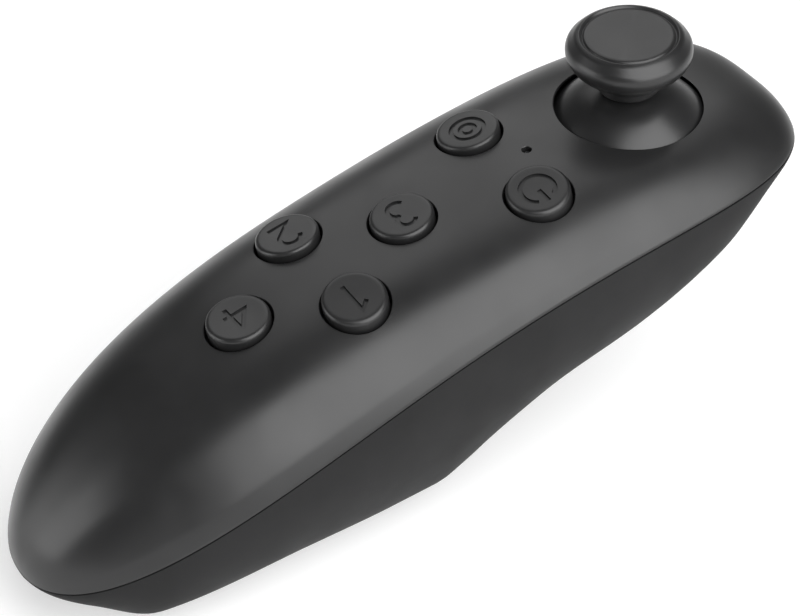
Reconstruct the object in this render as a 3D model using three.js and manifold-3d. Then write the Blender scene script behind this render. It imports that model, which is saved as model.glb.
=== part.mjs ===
// Handheld Bluetooth motion controller: a boat-shaped two-shell body with a thumbstick at the nose,
// six round top buttons, two finger triggers under the nose and a sliding battery cover.
// Millimetres. +X right, +Y forward (nose), +Z up; z = 0 is the flat sole it rests on.

import * as THREE from 'three';
import { mergeVertices } from 'three/addons/utils/BufferGeometryUtils.js';
import Module from 'manifold-3d';

const wasm = await Module();
wasm.setup();

// ---- driving dimensions -------------------------------------------------------------------

const HALF_LENGTH = 65;
const HALF_WIDTH = 22.2;
const WIDTH_TAPER = { tail: [3.5, 0.47], nose: [6.5, 0.35] };
const SEAM = { nose: 38.9, drop: 30.2, power: 2.3 };
const CROWN = { height: 8.25, swell: 0.067, knee: 15, tail: [2.4, 0.44], nose: [2.5, 0.44] };
const SECTION_TOP = [3.2, 0.76];
const SECTION_BELLY = [3.1, 0.5];
// Height of the belly along the centre line, from tail to nose.
const BELLY = [[-59, 5.3], [-50, 0], [-30, 0.7], [-12, 0], [-4, 0], [0, 1.5], [4.5, 4], [9, 6.2], [17, 9.6],
  [32, 13.8], [46, 21.2], [56, 33.9]];
const SOLE_SINK = 0.25;
const WALL = 2;
const GAP = 0.3;
const STATIONS = 26;
const RING = 20;

const DECK = { z: 42.02, tilt: THREE.MathUtils.degToRad(9.7) };
const HOLE_R = 5.1;
const CAP_R = 4.75;
const CAP_PROUD = 1.35;
const FLANGE = { r: 5.4, top: -3.2, thick: 0.7 };
const STEM_R = 1.6;
const BOARD_TOP = -10;
const BOARD_THICK = 1.6;
const BOARD_OUTLINE = { half: 11.6, rear: -32.5, front: 24.6 };
const SWITCH = { side: 5.2, tall: 2.8, plungerR: 1.5, proud: 1.1 };
const BUTTON_X = 8.8;
const CROSS_Y = -12.9;
const CROSS_STEP = 14.05;
const PAIR_Y = 18.9;
const LED_Y = 23.1;

const STICK = { y: 41.5, z: 33.5, holeR: 11.1, domeR: 15.2, domeWall: 1.4, domeEdge: 62 };
const MODULE = { half: 5, wall: 0.8, low: -4.5, high: 3.2 };

const COVER = { halfWidth: 12.7, top: 3.05, front: -1 };
const BAY = { halfWidth: 11.3, rear: -49.6, front: -1.3, roof: 14.3, wall: 1 };
const CELL = { r: 5.25, length: 44.5, x: 5.4, z: 8.6, rear: -46.9 };

const CASE_SCREWS = [[9.5, 7.5], [-9.5, 7.5], [0, -54]];
const SCREW = { headR: 2.2, headTall: 1.7, shankR: 0.9, headDrop: 7.5, length: 11 };
const TOWER_R = 3.2;
const BOARD_SCREWS = [-12.5, 10];
const STICK_BOARD = { low: 27.5, thick: 1.2, rear: 30, front: 46.2, half: 8.5, screwX: 6.6, screwY: 31.8 };

const TRIGGERS = [['trigger_upper', 53], ['trigger_lower', 43]];
const TRIGGER = { w: 13, l: 7.2, proud: 1.3, wall: 1.5, flangeTop: 1.8, flangeThick: 0.6, stemEnd: 2.7 };
const TRIGGER_SWITCH = { side: 5, length: 4, face: 3.5, tall: 1, wellR: 1.2 };
const TRIGGER_PLUNGER = { r: 0.9, low: 3, high: 3.65 };

// ---- materials ----------------------------------------------------------------------------

const material = (color, roughness, metalness = 0) =>
  new THREE.MeshStandardMaterial({ color, roughness, metalness });

const SATIN_SHELL = material(0x2b2b2c, 0.34);
const MATTE_SHELL = material(0x242425, 0.62);
const BUTTON_BLACK = material(0x2a2a2b, 0.45);
const STICK_BLACK = material(0x27272a, 0.5);
const MODULE_GREY = material(0x6f7275, 0.5, 0.4);
const SWITCH_BLACK = material(0x1b1b1d, 0.55);
const CIRCUIT_GREEN = material(0x14532d, 0.5);
const CHIP_BLACK = material(0x141416, 0.6);
const STEEL = material(0xa9abad, 0.35, 1);
const CELL_SKIN = material(0x3a6ea5, 0.35, 0.6);
const FLAT_CABLE = material(0xd8d8d2, 0.6);
const CLEAR = material(0xe8eef2, 0.1);

// ---- solids -------------------------------------------------------------------------------

function solid(geometry) {
  const bare = geometry.clone();
  bare.deleteAttribute('normal');
  bare.deleteAttribute('uv');
  const merged = mergeVertices(bare, 1e-5);
  return new wasm.Manifold(new wasm.Mesh({
    numProp: 3,
    vertProperties: new Float32Array(merged.attributes.position.array),
    triVerts: new Uint32Array(merged.index.array),
  }));
}

function geometryOf(manifold) {
  const mesh = manifold.getMesh();
  const geometry = new THREE.BufferGeometry();
  geometry.setAttribute('position', new THREE.BufferAttribute(new Float32Array(mesh.vertProperties), 3));
  geometry.setIndex(new THREE.BufferAttribute(new Uint32Array(mesh.triVerts), 1));
  geometry.computeVertexNormals();
  return geometry;
}

// A box from its lowest and highest corner.
function block(low, high) {
  const size = high.map((v, i) => v - low[i]);
  return new THREE.BoxGeometry(...size).translate(...low.map((v, i) => v + size[i] / 2));
}

// A cylinder along Z between two heights.
function rod(radius, low, high, sides = 16) {
  const geometry = new THREE.CylinderGeometry(radius, radius, high - low, sides);
  return geometry.rotateX(Math.PI / 2).translate(0, 0, (low + high) / 2);
}

// A solid of revolution about Z from [radius, z] points, listed from the lower axis point outwards.
function turned(points, sides) {
  const profile = points.map(([r, z]) => new THREE.Vector2(r, z));
  return new THREE.LatheGeometry(profile, sides).rotateX(Math.PI / 2);
}

const union = (...geometries) => geometries.map(solid).reduce((sum, part) => sum.add(part));

function ends(y, { tail, nose }) {
  const [power, root] = y < 0 ? tail : nose;
  return (1 - Math.min(1, Math.abs(y) / HALF_LENGTH) ** power) ** root;
}

const halfWidth = (y) => HALF_WIDTH * ends(y, WIDTH_TAPER);
const seamZ = (y) => SEAM.nose - SEAM.drop * ((HALF_LENGTH - y) / (2 * HALF_LENGTH)) ** SEAM.power;
const crownHeight = (y) => (CROWN.height + CROWN.swell * (Math.hypot(y, CROWN.knee) - y)) * ends(y, CROWN);
const section = (x, [power, root]) => Math.max(0, 1 - Math.abs(x) ** power) ** root;

const bellyPoints = [[-HALF_LENGTH, seamZ(-HALF_LENGTH)], ...BELLY, [HALF_LENGTH, seamZ(HALF_LENGTH)]];

// Slope at a belly point that keeps the curve through the points free of bumps.
function bellySlope(i) {
  const rise = (k) => (bellyPoints[k + 1][1] - bellyPoints[k][1]) / (bellyPoints[k + 1][0] - bellyPoints[k][0]);
  if (i === 0) return rise(0);
  if (i === bellyPoints.length - 1) return rise(i - 1);
  const [before, after] = [rise(i - 1), rise(i)];
  return before * after <= 0 ? 0 : 2 * before * after / (before + after);
}

function bellyZ(y) {
  let i = 0;
  while (i < bellyPoints.length - 2 && y > bellyPoints[i + 1][0]) i += 1;
  const [[y0, z0], [y1, z1]] = [bellyPoints[i], bellyPoints[i + 1]];
  const span = y1 - y0;
  const t = (y - y0) / span;
  const start = (1 + 2 * t) * (1 - t) ** 2 * z0 + t * (1 - t) ** 2 * span * bellySlope(i);
  return start + t * t * (3 - 2 * t) * z1 + t * t * (t - 1) * span * bellySlope(i + 1);
}

const topZ = (x, y) => seamZ(y) + crownHeight(y) * section(x / halfWidth(y), SECTION_TOP);

// Closed loft through rings of points, with a single point at each end.
function loft(tail, rings, nose) {
  const points = [tail, ...rings.flat(), nose];
  const count = rings[0].length;
  const at = (ring, k) => 1 + ring * count + (k % count);
  const index = [];
  for (let k = 0; k < count; k += 1) {
    index.push(0, at(0, k), at(0, k + 1));
    index.push(points.length - 1, at(rings.length - 1, k + 1), at(rings.length - 1, k));
    for (let ring = 0; ring < rings.length - 1; ring += 1) {
      index.push(at(ring, k), at(ring + 1, k), at(ring + 1, k + 1));
      index.push(at(ring, k), at(ring + 1, k + 1), at(ring, k + 1));
    }
  }
  const geometry = new THREE.BufferGeometry();
  geometry.setAttribute('position', new THREE.Float32BufferAttribute(points.flat(), 3));
  geometry.setIndex(index);
  return geometry;
}

// The body's form, or with a wall thickness the hollow inside it.
function hull(wall, stations, ringSize) {
  const shrink = (HALF_LENGTH - wall) / HALF_LENGTH;
  const less = (value) => value * (1 - wall / Math.max(value, 2 * wall));
  const rings = [];
  for (let s = 1; s < stations; s += 1) {
    const y = -HALF_LENGTH * Math.cos(Math.PI * s / stations);
    const width = less(halfWidth(y));
    const rise = less(crownHeight(y));
    const depth = less(seamZ(y) - bellyZ(y) + (wall ? 0 : SOLE_SINK));
    const ring = [];
    for (let k = 0; k < ringSize; k += 1) {
      const across = Math.cos(2 * Math.PI * k / ringSize);
      const upper = k <= ringSize / 2;
      const z = upper ? rise * section(across, SECTION_TOP) : -depth * section(across, SECTION_BELLY);
      ring.push([width * across, y * shrink, seamZ(y) + z]);
    }
    rings.push(ring);
  }
  const tip = (y) => [0, y * shrink, seamZ(y)];
  return loft(tip(-HALF_LENGTH), rings, tip(HALF_LENGTH));
}

// Everything above the seam surface, moved up by lift.
function aboveSeam(lift) {
  const outline = new THREE.Shape();
  outline.moveTo(-HALF_LENGTH - 5, 80);
  for (let s = 0; s <= STATIONS; s += 1) {
    const y = -(HALF_LENGTH + 5) * Math.cos(Math.PI * s / STATIONS);
    outline.lineTo(y, seamZ(Math.min(y, HALF_LENGTH)) + lift);
  }
  outline.lineTo(HALF_LENGTH + 5, 80);
  const prism = new THREE.ExtrudeGeometry(outline, { depth: 60, bevelEnabled: false });
  return solid(prism.translate(0, 0, -30).rotateX(Math.PI / 2).rotateZ(Math.PI / 2));
}

// ---- frames of reference ------------------------------------------------------------------

const deckMatrix = new THREE.Matrix4().makeRotationX(DECK.tilt).setPosition(0, 0, DECK.z);
const deckInverse = deckMatrix.clone().invert();
const onDeck = (x, y) => new THREE.Vector3(x, y, topZ(x, y)).applyMatrix4(deckInverse);

const triggerFrames = TRIGGERS.map(([name, y]) => {
  const slope = Math.atan(bellyZ(y + 1) / 2 - bellyZ(y - 1) / 2);
  return { name, slope, origin: [0, y, bellyZ(y)] };
});
const frameMatrix = ({ slope, origin }) => new THREE.Matrix4().makeRotationX(slope).setPosition(...origin);

const BUTTONS = [
  ['1', BUTTON_X, CROSS_Y],
  ['2', -BUTTON_X, CROSS_Y],
  ['3', 0, CROSS_Y + CROSS_STEP],
  ['4', 0, CROSS_Y - CROSS_STEP],
  ['home', -BUTTON_X, PAIR_Y],
  ['power', BUTTON_X, PAIR_Y],
].map(([name, x, y]) => ({
  name,
  at: onDeck(x, y),
  lean: onDeck(x + 0.5, y).z - onDeck(x - 0.5, y).z,
}));

// ---- shells -------------------------------------------------------------------------------

const outerBody = solid(hull(0, STATIONS, RING)).subtract(solid(block([-40, -80, -20], [40, 80, 0])));
const innerBody = solid(hull(WALL, 18, 16));
const wallBody = outerBody.subtract(innerBody);

// The bowl that the stick's dome turns in, kept clear of the sloping nose.
function domeRelief() {
  const ball = new THREE.SphereGeometry(STICK.domeR + 0.5, 24, 16).rotateX(Math.PI / 2);
  const bowl = solid(ball.translate(0, STICK.y, STICK.z));
  return bowl.intersect(solid(block([-20, 20, STICK.z + 3.2], [20, 60, 60])));
}

function topShell() {
  let bosses = null;
  for (const [x, y] of CASE_SCREWS) {
    const boss = solid(rod(2.4, seamZ(y) - GAP / 2, 60, 12).translate(x, y, 0));
    bosses = bosses ? bosses.add(boss) : boss;
  }
  for (const v of BOARD_SCREWS) {
    const post = rod(1.9, BOARD_TOP + GAP, 3, 12).translate(0, v, 0);
    bosses = bosses.add(solid(post.applyMatrix4(deckMatrix)));
  }
  let shell = wallBody.intersect(aboveSeam(GAP / 2)).add(bosses.intersect(outerBody));
  for (const [x, y] of CASE_SCREWS) {
    const depth = seamZ(y) + 4.2;
    shell = shell.subtract(solid(rod(SCREW.shankR + 0.25, 0, depth, 10).translate(x, y, 0)));
  }
  for (const v of BOARD_SCREWS) {
    const hole = rod(1, BOARD_TOP - 2, -3.5, 10).translate(0, v, 0);
    shell = shell.subtract(solid(hole.applyMatrix4(deckMatrix)));
  }
  for (const { at } of BUTTONS) {
    const hole = rod(HOLE_R, at.z - 4, at.z + 4, 22).translate(at.x, at.y, 0);
    const flangeRoom = rod(FLANGE.r + GAP, at.z - 8, at.z + FLANGE.top + 0.8, 16).translate(at.x, at.y, 0);
    shell = shell.subtract(solid(hole.applyMatrix4(deckMatrix)));
    shell = shell.subtract(solid(flangeRoom.applyMatrix4(deckMatrix)));
  }
  const led = onDeck(0, LED_Y);
  const pinhole = rod(0.8, led.z - 4, led.z + 4, 12).translate(0, led.y, 0);
  shell = shell.subtract(solid(pinhole.applyMatrix4(deckMatrix)));
  const stickHole = rod(STICK.holeR, STICK.z + 6, 60, 30).translate(0, STICK.y, 0);
  return shell.subtract(solid(stickHole)).subtract(domeRelief());
}

function roundedRect(w, l, r) {
  const shape = new THREE.Shape();
  const corners = [[1, 1, 0], [-1, 1, 1], [-1, -1, 2], [1, -1, 3]];
  for (const [sx, sy, quarter] of corners) {
    const start = quarter * Math.PI / 2;
    shape.absarc(sx * (w / 2 - r), sy * (l / 2 - r), r, start, start + Math.PI / 2, false);
  }
  return shape;
}

const plate = (w, l, r, low, high) =>
  new THREE.ExtrudeGeometry(roundedRect(w, l, r), { depth: high - low, bevelEnabled: false, curveSegments: 2 })
    .translate(0, 0, low);

const belowSeam = (manifold) => manifold.subtract(aboveSeam(-GAP / 2));

function bottomShell() {
  const bay = solid(block(
    [-BAY.halfWidth - BAY.wall, BAY.rear - BAY.wall, 0],
    [BAY.halfWidth + BAY.wall, BAY.front + BAY.wall, BAY.roof + BAY.wall],
  ));
  let inside = bay;
  for (const [x, y] of CASE_SCREWS) {
    inside = inside.add(solid(rod(TOWER_R, -5, seamZ(y) - 0.6, 14).translate(x, y, 0)));
  }
  for (const side of [-1, 1]) {
    const post = rod(1.9, 0, STICK_BOARD.low - GAP, 12);
    inside = inside.add(solid(post.translate(side * STICK_BOARD.screwX, STICK_BOARD.screwY, 0)));
  }
  let shell = belowSeam(wallBody).add(belowSeam(inside.intersect(outerBody)));
  const coverCut = block([-COVER.halfWidth - GAP, -90, -5],
    [COVER.halfWidth + GAP, COVER.front + GAP, COVER.top + GAP]);
  shell = shell.subtract(solid(coverCut));
  shell = shell.subtract(solid(block([-BAY.halfWidth, BAY.rear, -5], [BAY.halfWidth, BAY.front, BAY.roof])));
  for (const [x, y] of CASE_SCREWS) {
    const seat = seamZ(y) - SCREW.headDrop + SCREW.headTall + GAP;
    shell = shell.subtract(solid(rod(SCREW.headR + GAP, -5, seat, 14).translate(x, y, 0)));
    shell = shell.subtract(solid(rod(SCREW.shankR + GAP, -5, 60, 10).translate(x, y, 0)));
  }
  for (const side of [-1, 1]) {
    const hole = rod(1, STICK_BOARD.low - 6, STICK_BOARD.low, 10);
    shell = shell.subtract(solid(hole.translate(side * STICK_BOARD.screwX, STICK_BOARD.screwY, 0)));
  }
  for (const frame of triggerFrames) {
    const opening = plate(TRIGGER.w + 2 * GAP, TRIGGER.l + 2 * GAP, 1.8, -4, 5);
    const pocket = block([-8, -4.9, TRIGGER.wall], [8, 4.9, 5.2]);
    for (const cut of [opening, pocket]) {
      shell = shell.subtract(solid(cut.applyMatrix4(frameMatrix(frame))));
    }
  }
  return shell.subtract(domeRelief());
}

function batteryCover() {
  const slab = block([-COVER.halfWidth, -90, -5], [COVER.halfWidth, COVER.front, COVER.top]);
  return outerBody.intersect(solid(slab));
}

// ---- controls -----------------------------------------------------------------------------

// A round button: cap, retaining flange and stem, its faces leaning with the shell's surface.
function buttonGeometry({ at, lean }, stemEnd) {
  const flangeLow = FLANGE.top - FLANGE.thick;
  const geometry = turned([
    [0, stemEnd - at.z], [STEM_R, stemEnd - at.z], [STEM_R, flangeLow], [FLANGE.r, flangeLow],
    [FLANGE.r, FLANGE.top], [CAP_R, FLANGE.top], [CAP_R, CAP_PROUD - 0.6], [CAP_R - 0.2, CAP_PROUD - 0.2],
    [CAP_R - 0.7, CAP_PROUD], [0, CAP_PROUD],
  ], 20);
  const position = geometry.attributes.position;
  for (let i = 0; i < position.count; i += 1) {
    if (position.getZ(i) > flangeLow - 0.01) {
      position.setZ(i, position.getZ(i) + lean * position.getX(i));
    }
  }
  return geometry;
}

// A switch body with a blind well for its plunger, lying between the heights low and low + tall.
function switchBase(side, length, low, tall, wellR) {
  const body = solid(block([-side / 2, -length / 2, low], [side / 2, length / 2, low + tall]));
  return body.subtract(solid(rod(wellR, low + 0.3, low + tall + 1, 12)));
}

// A low switch that hangs upside down, so that its well opens toward the trigger.
function triggerSwitch() {
  const { side, length, face, tall, wellR } = TRIGGER_SWITCH;
  const upright = switchBase(side, length, face, tall, wellR);
  return upright.rotate([180, 0, 0]).translate([0, 0, 2 * face + tall]);
}

// The shell of the stick's dome, between two polar angles.
function domeGeometry() {
  const arc = (radius, from, to) => {
    const points = [];
    for (let k = 0; k <= 5; k += 1) {
      const angle = THREE.MathUtils.degToRad(from + (to - from) * k / 5);
      points.push([radius * Math.sin(angle), radius * Math.cos(angle)]);
    }
    return points;
  };
  const outline = [
    ...arc(STICK.domeR - STICK.domeWall, 9, STICK.domeEdge),
    ...arc(STICK.domeR, STICK.domeEdge, 9),
  ];
  return turned([...outline, outline[0]], 28);
}

// The thumb cap: a dished disc inside a rounded rim, on a waisted neck that sits over the shaft.
function thumbCap() {
  return turned([
    [0, 21.2], [1.9, 21.2], [1.9, 15.45], [4.75, 14.8], [4.8, 16.5], [5.8, 17.5], [7.5, 18.6], [9, 20.1],
    [9.45, 21.5], [9.2, 22.7], [8, 24], [7.3, 24.2], [6.8, 23.95], [6.3, 24.15], [0, 23.95],
  ], 26);
}

function stickShaft() {
  return union(
    rod(1.6, 0.5, 20.8, 12),
    block([-1.5, -1.5, -1.2], [1.5, 1.5, 1.2]),
    rod(0.7, -4, -1, 10),
    rod(0.6, -2.9, 2.9, 10).rotateX(Math.PI / 2),
  );
}

// Inner frame of the gimbal: it turns about X on two journals and carries the stick's cross pin.
function gimbalRing() {
  const frame = union(block([-3.1, -3.1, -1], [3.1, 3.1, 1]),
    rod(0.8, -6.5, 5.6, 12).rotateY(Math.PI / 2));
  return frame.subtract(solid(block([-1.85, -1.85, -3], [1.85, 1.85, 3])))
    .subtract(solid(rod(0.9, -4, 4, 12).rotateX(Math.PI / 2)));
}

// Slotted yoke under the gimbal: it turns about Y with the stick's tail and drives one sensor.
function senseRocker() {
  const legs = [-1, 1].map((side) => {
    const [near, far] = [side * 3.5, side * 3.95].sort((a, b) => a - b);
    return block([-1.7, near, -3.7], [1.7, far, 0.9]);
  });
  const yoke = union(...legs, block([-1.7, -3.95, -3.7], [1.7, 3.95, -3]),
    rod(0.8, 3.6, 5.6, 12).rotateX(-Math.PI / 2), rod(0.8, 3.6, 6.5, 12).rotateX(Math.PI / 2));
  return yoke.subtract(solid(block([-0.95, -2.6, -5], [0.95, 2.6, -2])));
}

function stickHousing() {
  const { half, wall, low, high } = MODULE;
  let housing = solid(block([-half, -half, low], [half, half, high]))
    .subtract(solid(block([-half + wall, -half + wall, low - 1], [half - wall, half - wall, high + 1])));
  for (const turn of [0, Math.PI / 2]) {
    const slot = block([-1.1, -9, low - 1], [1.1, 9, 0]).rotateZ(turn);
    const seat = rod(1.1, -9, 9, 12).rotateX(Math.PI / 2).rotateZ(turn);
    housing = housing.subtract(solid(slot)).subtract(solid(seat));
  }
  return housing;
}

// A tilt sensor: a square wafer with a blind socket for a journal, facing +X.
function tiltSensor() {
  const body = solid(block([-7.9, -3.5, -4], [-5.3, 3.5, 2.2]));
  return body.subtract(solid(rod(1.1, -6.8, -5, 12).rotateY(Math.PI / 2)));
}

function coil(radiusLow, radiusHigh, wire, low, high, turns, sides) {
  const points = [];
  const steps = turns * 9;
  for (let k = 0; k <= steps; k += 1) {
    const t = k / steps;
    const angle = 2 * Math.PI * turns * t;
    const radius = radiusLow + (radiusHigh - radiusLow) * t;
    points.push(new THREE.Vector3(radius * Math.cos(angle), radius * Math.sin(angle), low + (high - low) * t));
  }
  const round = new THREE.Shape();
  round.absarc(0, 0, wire, 0, 2 * Math.PI, false);
  return new THREE.ExtrudeGeometry(round, {
    steps, curveSegments: sides, extrudePath: new THREE.CatmullRomCurve3(points), bevelEnabled: false,
  });
}

function triggerGeometry() {
  const { w, l, proud, flangeTop, flangeThick, stemEnd } = TRIGGER;
  const bevel = 0.5;
  const cap = new THREE.ExtrudeGeometry(roundedRect(w - 2 * bevel, l - 2 * bevel, 1.2), {
    depth: proud + flangeTop - 1.8 * bevel, bevelThickness: bevel, bevelSize: bevel, bevelSegments: 1,
    curveSegments: 2,
  });
  return union(cap.translate(0, 0, bevel - proud),
    plate(w + 1.8, l + 1.6, 2, flangeTop, flangeTop + flangeThick), rod(1.2, flangeTop, stemEnd, 12));
}

// ---- fasteners and electronics --------------------------------------------------------------

function panScrew(headR, headTall, shankR, length) {
  const body = solid(turned([
    [0, 0], [headR * 0.75, 0], [headR, headTall * 0.4], [headR, headTall], [shankR, headTall],
    [shankR, length - 0.8], [0, length],
  ], 14));
  const slots = [0, Math.PI / 2].map((turn) =>
    solid(block([-headR * 0.6, -0.25, -1], [headR * 0.6, 0.25, headTall * 0.5]).rotateZ(turn)));
  return slots.reduce((screw, slot) => screw.subtract(slot), body);
}

function buttonBoard() {
  const { half, rear, front } = BOARD_OUTLINE;
  let board = solid(block([-half, rear, BOARD_TOP - BOARD_THICK], [half, front, BOARD_TOP]));
  for (const v of BOARD_SCREWS) {
    board = board.subtract(solid(rod(1.2, BOARD_TOP - 4, BOARD_TOP + 2, 12).translate(0, v, 0)));
  }
  for (const [x, y] of CASE_SCREWS) {
    const notch = rod(TOWER_R + GAP, 0, 60, 12).translate(x, y, 0).applyMatrix4(deckInverse);
    board = board.subtract(solid(notch));
  }
  return board;
}

function stickBoard() {
  const { low, thick, rear, front, half, screwX, screwY } = STICK_BOARD;
  let board = solid(block([-half, rear, low], [half, front, low + thick]));
  for (const side of [-1, 1]) {
    board = board.subtract(solid(rod(1.2, low - 2, low + 4, 12).translate(side * screwX, screwY, 0)));
  }
  return board;
}

// Flat cable from the underside of the button board down to the stick board.
function ribbon() {
  const centre = new THREE.CatmullRomCurve3([
    [22.5, 32.6], [26.5, 33.2], [28.6, 32], [28.9, 29.6], [30.6, 29.15], [32.8, 29.15],
  ].map(([y, z]) => new THREE.Vector3(0, y, z)));
  const strip = new THREE.Shape([[-3.5, -0.15], [3.5, -0.15], [3.5, 0.15], [-3.5, 0.15]]
    .map(([a, b]) => new THREE.Vector2(a, b)));
  return new THREE.ExtrudeGeometry(strip, { steps: 16, extrudePath: centre, bevelEnabled: false });
}

function cellGeometry() {
  const end = CELL.length;
  return turned([
    [0, 0], [4.2, 0], [CELL.r, 0.6], [CELL.r, end - 1.6], [4.6, end - 1], [1.9, end - 1], [1.9, end], [0, end],
  ], 18).rotateX(-Math.PI / 2);
}

function cellSpring() {
  const leaf = block([-4.6, BAY.rear + 0.3, -4.5], [4.6, BAY.rear + 0.8, 4.5]);
  const wound = coil(3.2, 1.8, 0.3, 0, 1.7, 2, 3).rotateX(-Math.PI / 2).translate(0, BAY.rear + 0.75, 0);
  return union(leaf, wound);
}

// ---- assembly -----------------------------------------------------------------------------

const controller = new THREE.Group();

function add(parent, name, shape, look) {
  const geometry = shape.isBufferGeometry ? shape : geometryOf(shape);
  const mesh = new THREE.Mesh(geometry, look);
  mesh.name = name;
  parent.add(mesh);
  return mesh;
}

function subgroup(parent, position, rotation = [0, 0, 0]) {
  const group = new THREE.Group();
  group.position.set(...position);
  group.rotation.set(...rotation);
  parent.add(group);
  return group;
}

add(controller, 'top_shell', topShell(), SATIN_SHELL);
add(controller, 'bottom_shell', bottomShell(), MATTE_SHELL);
add(controller, 'battery_cover', batteryCover(), MATTE_SHELL);

CASE_SCREWS.forEach(([x, y], i) => {
  const screw = panScrew(SCREW.headR, SCREW.headTall, SCREW.shankR, SCREW.length);
  add(controller, `case_screw_${i + 1}`, screw, STEEL).position.set(x, y, seamZ(y) - SCREW.headDrop);
});

const deck = subgroup(controller, [0, 0, DECK.z], [DECK.tilt, 0, 0]);
const switchTop = BOARD_TOP + GAP + SWITCH.tall;
for (const button of BUTTONS) {
  const spot = subgroup(deck, [button.at.x, button.at.y, 0]);
  const plungerTop = switchTop + SWITCH.proud;
  add(spot, `button_${button.name}`, buttonGeometry(button, plungerTop + GAP), BUTTON_BLACK).position.z = button.at.z;
  const base = switchBase(SWITCH.side, SWITCH.side, BOARD_TOP + GAP, SWITCH.tall, SWITCH.plungerR + GAP);
  add(spot, `switch_${button.name}`, base, SWITCH_BLACK);
  add(spot, `plunger_${button.name}`, rod(SWITCH.plungerR, switchTop - 1, plungerTop, 14), STEEL);
}
add(deck, 'button_board', buttonBoard(), CIRCUIT_GREEN);
add(deck, 'bluetooth_module', block([-5.5, -6, -14], [5.5, 7.5, BOARD_TOP - BOARD_THICK - GAP]), STEEL);
add(deck, 'controller_chip', block([-3, 14, -12.9], [3, 20, BOARD_TOP - BOARD_THICK - GAP]), CHIP_BLACK);
const ledSpot = onDeck(0, LED_Y);
add(deck, 'led', block([-0.8, -0.4, BOARD_TOP + GAP], [0.8, 0.4, BOARD_TOP + 1.1]), CLEAR).position.y = ledSpot.y;
add(deck, 'light_pipe', rod(0.5, BOARD_TOP + 1.4, ledSpot.z - 0.8, 12), CLEAR).position.y = ledSpot.y;
BOARD_SCREWS.forEach((v, i) => {
  const screw = panScrew(1.7, 1.1, 0.75, 6);
  add(deck, `board_screw_${i + 1}`, screw, STEEL).position.set(0, v, BOARD_TOP - BOARD_THICK - GAP - 1.1);
});

const stick = subgroup(controller, [0, STICK.y, STICK.z]);
add(stick, 'joystick_cap', thumbCap(), STICK_BLACK);
add(stick, 'joystick_dome', domeGeometry(), STICK_BLACK);
add(stick, 'joystick_shaft', stickShaft(), MODULE_GREY);
add(stick, 'centering_cup', solid(rod(4, 5, 5.8, 20)).subtract(solid(rod(1.9, 4, 7, 12))), SWITCH_BLACK);
add(stick, 'return_spring', coil(3.1, 3.1, 0.3, 6.15, 11.8, 3, 3), STEEL);
add(stick, 'gimbal_ring', gimbalRing(), MODULE_GREY);
add(stick, 'sense_rocker', senseRocker(), SWITCH_BLACK);
add(stick, 'joystick_housing', stickHousing(), MODULE_GREY);
add(stick, 'tilt_sensor_x', tiltSensor(), CIRCUIT_GREEN);
add(stick, 'tilt_sensor_y', tiltSensor(), CIRCUIT_GREEN).rotation.z = Math.PI / 2;

add(controller, 'joystick_board', stickBoard(), CIRCUIT_GREEN);
[-1, 1].forEach((side, i) => {
  const screw = add(controller, `joystick_screw_${i + 1}`, panScrew(1.7, 1.1, 0.7, 5.5), STEEL);
  const head = STICK_BOARD.low + STICK_BOARD.thick + GAP + 1.1;
  screw.position.set(side * STICK_BOARD.screwX, STICK_BOARD.screwY, head);
  screw.rotation.x = Math.PI;
});
add(controller, 'ribbon_cable', ribbon(), FLAT_CABLE);

for (const { name, slope, origin } of triggerFrames) {
  const spot = subgroup(controller, origin, [slope, 0, 0]);
  add(spot, name, triggerGeometry(), BUTTON_BLACK);
  add(spot, `${name}_switch`, triggerSwitch(), SWITCH_BLACK);
  add(spot, `${name}_plunger`, rod(TRIGGER_PLUNGER.r, TRIGGER_PLUNGER.low, TRIGGER_PLUNGER.high, 12), STEEL);
  add(spot, `${name}_board`, block([-4, -2.2, 4.8], [4, 2.2, 5.5]), CIRCUIT_GREEN);
}

for (const [name, side] of [['left', -1], ['right', 1]]) {
  const x = side * CELL.x;
  add(controller, `battery_${name}`, cellGeometry(), CELL_SKIN).position.set(x, CELL.rear, CELL.z);
  add(controller, `battery_spring_${name}`, cellSpring(), STEEL).position.set(x, 0, CELL.z);
}
add(controller, 'battery_contact', block([-10.4, -2.1, 4.4], [10.4, -1.6, 13]), STEEL);

export default controller;
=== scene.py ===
import math

import bpy
from mathutils import Matrix, Vector


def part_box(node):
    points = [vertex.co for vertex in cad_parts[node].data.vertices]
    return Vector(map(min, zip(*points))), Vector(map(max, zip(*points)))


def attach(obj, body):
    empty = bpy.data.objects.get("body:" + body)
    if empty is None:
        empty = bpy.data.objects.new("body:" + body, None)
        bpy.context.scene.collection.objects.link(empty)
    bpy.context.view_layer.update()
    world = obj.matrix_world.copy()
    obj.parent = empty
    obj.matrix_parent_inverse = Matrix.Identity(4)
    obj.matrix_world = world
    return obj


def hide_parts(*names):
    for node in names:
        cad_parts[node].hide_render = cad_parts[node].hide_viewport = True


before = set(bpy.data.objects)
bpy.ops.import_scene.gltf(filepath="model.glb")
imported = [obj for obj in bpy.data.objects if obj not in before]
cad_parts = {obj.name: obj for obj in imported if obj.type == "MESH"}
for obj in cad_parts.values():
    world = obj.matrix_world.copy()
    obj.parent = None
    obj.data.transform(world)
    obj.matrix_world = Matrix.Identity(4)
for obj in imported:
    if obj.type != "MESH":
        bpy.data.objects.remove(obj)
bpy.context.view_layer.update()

# Handheld motion controller. Sizes are millimetres in the CAD's frame: +X right, +Y forward to the
# nose, +Z up, and z = 0 is the flat sole. MM turns them into Blender's metres.

MM = 0.001

# ---- sizes ----------------------------------------------------------------------------------
# The CAD's own, except where a comment says otherwise.

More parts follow.
